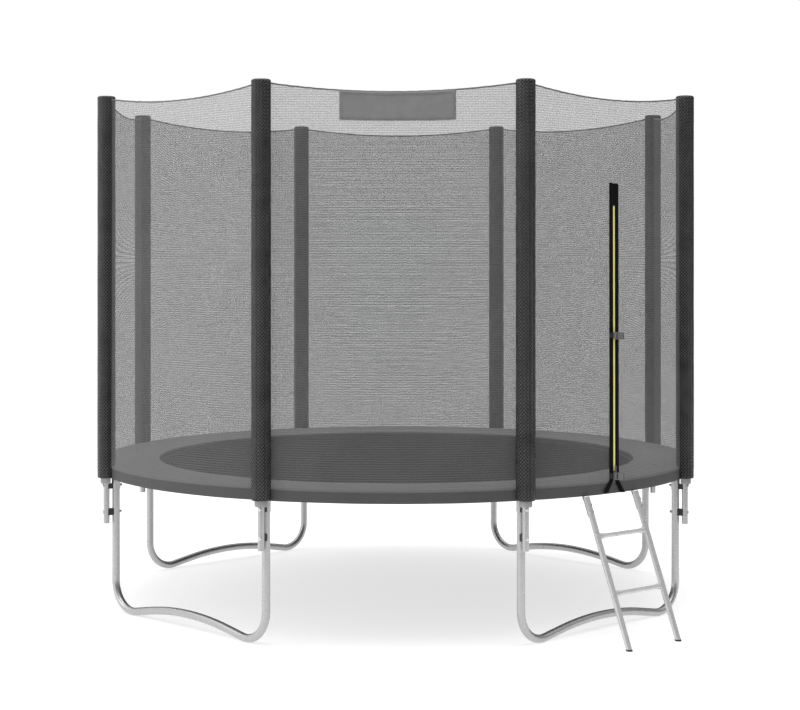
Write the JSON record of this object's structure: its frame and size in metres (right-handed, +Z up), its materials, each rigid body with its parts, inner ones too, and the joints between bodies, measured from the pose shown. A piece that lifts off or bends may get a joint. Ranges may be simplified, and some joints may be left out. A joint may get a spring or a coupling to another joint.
{
  "type": "trampoline",
  "caption": "Round sprung trampoline on W-shaped steel legs with padded poles, a zipped safety net, a ring pad and a hook-on ladder.",
  "frame": {"origin": "on the ground at the centre of the trampoline", "axes": "+Z up; -Y is the front, where the cloth panel hangs in the net; the zip door and the ladder are to the front right, 41 degrees from -Y towards +X"},
  "size_m": [3.0716, 3.0716, 2.554],
  "materials": {
    "galvanised_tube": "dull zinc-coated steel tube",
    "zinc_hardware": "bright zinc-plated bolts and nuts",
    "spring_steel": "zinc-plated spring wire",
    "black_plastic": "moulded black plastic",
    "grey_foam": "closed-cell foam tube",
    "black_pvc": "embossed glossy black PVC",
    "grey_pvc": "matt grey PVC-coated pad cover",
    "mat_fabric": "woven black polypropylene",
    "webbing": "black polypropylene webbing",
    "net_mesh": "fine black polyethylene mesh",
    "grey_cloth": "plain grey woven cloth",
    "zip_coil_yellow": "pale yellow zip coil",
    "slider_metal": "dark enamelled zinc",
    "buckle_plastic": "black acetal",
    "elastic": "black elastic"
  },
  "bodies": {
    "frame": {"top_rail_1": "galvanised_tube", "top_rail_2": "galvanised_tube", "top_rail_3": "galvanised_tube", "top_rail_4": "galvanised_tube", "top_rail_5": "galvanised_tube", "top_rail_6": "galvanised_tube", "top_rail_7": "galvanised_tube", "top_rail_8": "galvanised_tube", "leg_sockets": "galvanised_tube", "leg_upright_1": "galvanised_tube", "leg_upright_2": "galvanised_tube", "leg_upright_3": "galvanised_tube", "leg_upright_4": "galvanised_tube", "leg_upright_5": "galvanised_tube", "leg_upright_6": "galvanised_tube", "leg_upright_7": "galvanised_tube", "leg_upright_8": "galvanised_tube", "leg_base_1": "galvanised_tube", "leg_base_2": "galvanised_tube", "leg_base_3": "galvanised_tube", "leg_base_4": "galvanised_tube", "enclosure_poles": "galvanised_tube", "pole_caps": "black_plastic", "pole_foam": "grey_foam", "pole_sleeve_1": "black_pvc", "pole_sleeve_2": "black_pvc", "pole_sleeve_3": "black_pvc", "pole_sleeve_4": "black_pvc", "pole_sleeve_5": "black_pvc", "pole_sleeve_6": "black_pvc", "pole_sleeve_7": "black_pvc", "pole_sleeve_8": "black_pvc", "pole_spacers": "black_plastic", "pole_bolts": "zinc_hardware", "pole_nuts": "zinc_hardware", "springs": "spring_steel", "safety_pad": "grey_pvc", "pad_ties": "elastic", "safety_net": "net_mesh", "net_hem": "webbing", "header_panel": "grey_cloth", "zip_tapes": "webbing", "zip_coil": "zip_coil_yellow", "buckle_sockets": "buckle_plastic", "buckle_socket_straps": "webbing"},
    "mat": {"jumping_mat": "mat_fabric", "mat_rings": "spring_steel", "mat_webbing": "webbing"},
    "zip_slider": {"zip_slider": "slider_metal"},
    "zip_pull": {"zip_pull": "slider_metal"},
    "upper_buckle": {"upper_buckle_plug": "buckle_plastic", "upper_buckle_strap": "webbing"},
    "lower_buckle": {"lower_buckle_plug": "buckle_plastic", "lower_buckle_strap": "webbing"},
    "ladder": {"ladder_stiles": "galvanised_tube", "ladder_feet": "black_plastic", "ladder_rungs": "galvanised_tube", "ladder_hooks": "zinc_hardware", "ladder_bolts": "zinc_hardware"}
  },
  "joints": [
    {"name": "mat_bounce", "type": "slide", "parent": "frame", "child": "mat", "axis": [0, 0, 1], "range_m": [-0.3, 0], "stiffness_N_per_m": 4000, "springref_m": 0.05, "deforming": ["springs"]},
    {"name": "zip_slide", "type": "slide", "parent": "frame", "child": "zip_slider", "axis": [0.0079, 0.0841, 0.9964], "range_m": [0, 1.231]},
    {"name": "zip_pull_swing", "type": "hinge", "parent": "zip_slider", "child": "zip_pull", "pos_m": [1.02601, -1.15002, 0.76397], "axis": [0.7269, 0.6838, -0.0635], "range_deg": [0, 100]},
    {"name": "upper_buckle_release", "type": "slide", "parent": "frame", "child": "upper_buckle", "axis": [-0.7269, -0.6838, 0.0635], "range_m": [0, 0.03]},
    {"name": "lower_buckle_release", "type": "slide", "parent": "frame", "child": "lower_buckle", "axis": [-0.7269, -0.6838, 0.0635], "range_m": [0, 0.03]},
    {"name": "ladder_swing", "type": "hinge", "parent": "frame", "child": "ladder", "pos_m": [0.97812, -1.12519, 0.685], "axis": [-0.7547, -0.6561, 0], "range_deg": [0, 9]}
  ]
}
